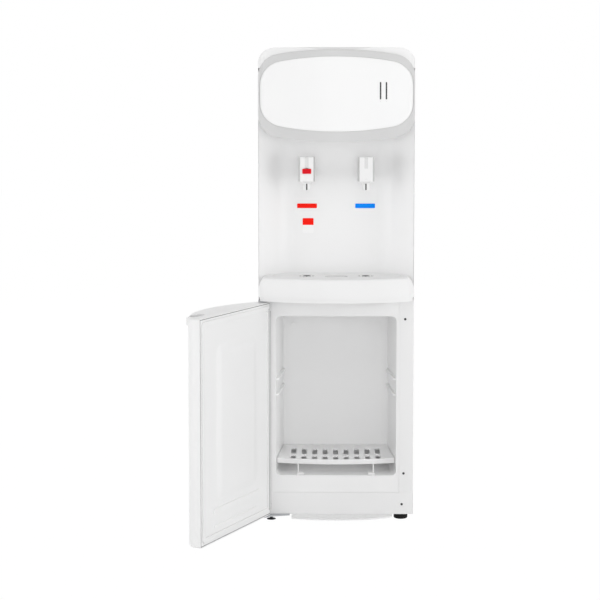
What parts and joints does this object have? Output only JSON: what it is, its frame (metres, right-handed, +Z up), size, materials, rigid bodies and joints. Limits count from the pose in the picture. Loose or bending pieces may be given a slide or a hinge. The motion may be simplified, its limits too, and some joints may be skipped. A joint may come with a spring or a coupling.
{
  "type": "top load water cooler",
  "caption": "Tall floor standing top load water cooler with a bowed head, two push taps in a concave niche, drip tray and lower storage cabinet with an open door.",
  "frame": {"origin": "on the floor, under the middle of the cabinet's steel body, which is 310 mm wide and 275 mm deep", "axes": "+X to the right as seen from the front, +Y towards the back, +Z up"},
  "size_m": [0.4357, 0.5859, 0.9452],
  "materials": {
    "painted_steel": "semi-gloss powder coat",
    "zinc_steel": "zinc plated",
    "white_abs": "semi-gloss",
    "liner_abs": "satin",
    "grey_abs": "semi-gloss",
    "gloss_panel": "high gloss",
    "dark_lens": "gloss",
    "red_plastic": "gloss",
    "green_plastic": "gloss",
    "red_label": "printed film",
    "blue_label": "printed film",
    "black_rubber": "matte",
    "gasket_pvc": "matte",
    "silicone": "translucent",
    "stainless": "drawn",
    "copper": "bright",
    "black_steel": "satin black",
    "foam": "closed-cell foam",
    "mica": "matte",
    "black_plastic": "matte"
  },
  "bodies": {
    "cabinet": {"base_pan": "zinc_steel", "plinth": "white_abs", "feet": "black_rubber", "left_side_panel": "painted_steel", "right_side_panel": "painted_steel", "rear_panel": "painted_steel", "face_frame": "liner_abs", "cabinet_liner": "liner_abs", "shelf": "white_abs", "shelf_legs": "white_abs", "front_screws": "zinc_steel", "hinge_brackets": "zinc_steel", "niche_panel": "white_abs", "tray_housing": "white_abs", "head_shell": "white_abs", "bezel": "grey_abs", "display_panel": "gloss_panel", "indicator_lenses": "dark_lens", "hot_label": "red_label", "cold_label": "blue_label", "hot_marker": "red_label", "top_cover": "white_abs", "tank_decks": "zinc_steel", "cold_tank": "stainless", "tank_lid": "white_abs", "evaporator": "copper", "cold_insulation": "foam", "hot_tank": "stainless", "heater_band": "mica", "hot_insulation": "foam", "hot_hose": "silicone", "cold_hoses": "silicone", "hot_tap_body": "white_abs", "cold_tap_body": "white_abs", "tap_nuts": "white_abs", "lever_pins": "stainless", "compressor": "black_steel", "compressor_grommets": "black_rubber", "condenser_tube": "black_steel", "condenser_wires": "black_steel", "filter_drier": "copper", "refrigerant_lines": "copper", "switch_plate": "black_plastic", "drain_valve": "white_abs", "cable_gland": "black_plastic"},
    "door": {"door_shell": "white_abs", "door_liner": "white_abs", "door_gasket": "gasket_pvc"},
    "drip_tray": {"drip_tray": "liner_abs"},
    "drip_grille": {"drip_grille": "white_abs"},
    "bottle_seat": {"bottle_seat": "white_abs", "bottle_probe": "white_abs"},
    "hot_lever": {"hot_lever": "white_abs"},
    "cold_lever": {"cold_lever": "white_abs"},
    "hot_lock": {"hot_lock": "red_plastic"},
    "hot_plunger": {"hot_plunger": "white_abs"},
    "cold_plunger": {"cold_plunger": "white_abs"},
    "hot_switch": {"hot_switch": "red_plastic"},
    "cold_switch": {"cold_switch": "green_plastic"},
    "drain_cap": {"drain_cap": "white_abs"}
  },
  "joints": [
    {"name": "door_hinge", "type": "hinge", "parent": "cabinet", "child": "door", "pos_m": [-0.1455, -0.1525, 0], "axis": [0, 0, 1], "range_deg": [-6.6, 113.4]},
    {"name": "tray_lift", "type": "slide", "parent": "cabinet", "child": "drip_tray", "axis": [0, 0, 1], "range_m": [0, 0.06]},
    {"name": "grille_lift", "type": "slide", "parent": "drip_tray", "child": "drip_grille", "axis": [0, 0, 1], "range_m": [0, 0.04]},
    {"name": "seat_lift", "type": "slide", "parent": "cabinet", "child": "bottle_seat", "axis": [0, 0, 1], "range_m": [0, 0.09]},
    {"name": "hot_lever_pivot", "type": "hinge", "parent": "cabinet", "child": "hot_lever", "pos_m": [0, -0.1411, 0.716], "axis": [1, 0, 0], "range_deg": [0, 12], "stiffness_Nm_per_rad": 0.5, "springref_deg": -3.44},
    {"name": "cold_lever_pivot", "type": "hinge", "parent": "cabinet", "child": "cold_lever", "pos_m": [0, -0.1411, 0.716], "axis": [1, 0, 0], "range_deg": [0, 12], "stiffness_Nm_per_rad": 0.5, "springref_deg": -3.44},
    {"name": "hot_lock_slide", "type": "slide", "parent": "hot_lever", "child": "hot_lock", "axis": [0, 0, 1], "range_m": [0, 0.003], "stiffness_N_per_m": 60, "springref_m": -0.001},
    {"name": "hot_plunger_slide", "type": "slide", "parent": "cabinet", "child": "hot_plunger", "axis": [0, 0, 1], "range_m": [0, 0.0019]},
    {"name": "cold_plunger_slide", "type": "slide", "parent": "cabinet", "child": "cold_plunger", "axis": [0, 0, 1], "range_m": [0, 0.0019]},
    {"name": "hot_switch_rock", "type": "hinge", "parent": "cabinet", "child": "hot_switch", "pos_m": [0.0775, 0.1357, 0.835], "axis": [1, 0, 0], "range_deg": [0, 14]},
    {"name": "cold_switch_rock", "type": "hinge", "parent": "cabinet", "child": "cold_switch", "pos_m": [0.1065, 0.1357, 0.835], "axis": [1, 0, 0], "range_deg": [0, 14]},
    {"name": "drain_cap_pull", "type": "slide", "parent": "cabinet", "child": "drain_cap", "axis": [0, 1, 0], "range_m": [0, 0.02]}
  ],
  "couplings": [
    {"joint": "hot_plunger_slide", "follows": "hot_lever_pivot", "m_per_rad": 0.0086},
    {"joint": "cold_plunger_slide", "follows": "cold_lever_pivot", "m_per_rad": 0.0086}
  ]
}
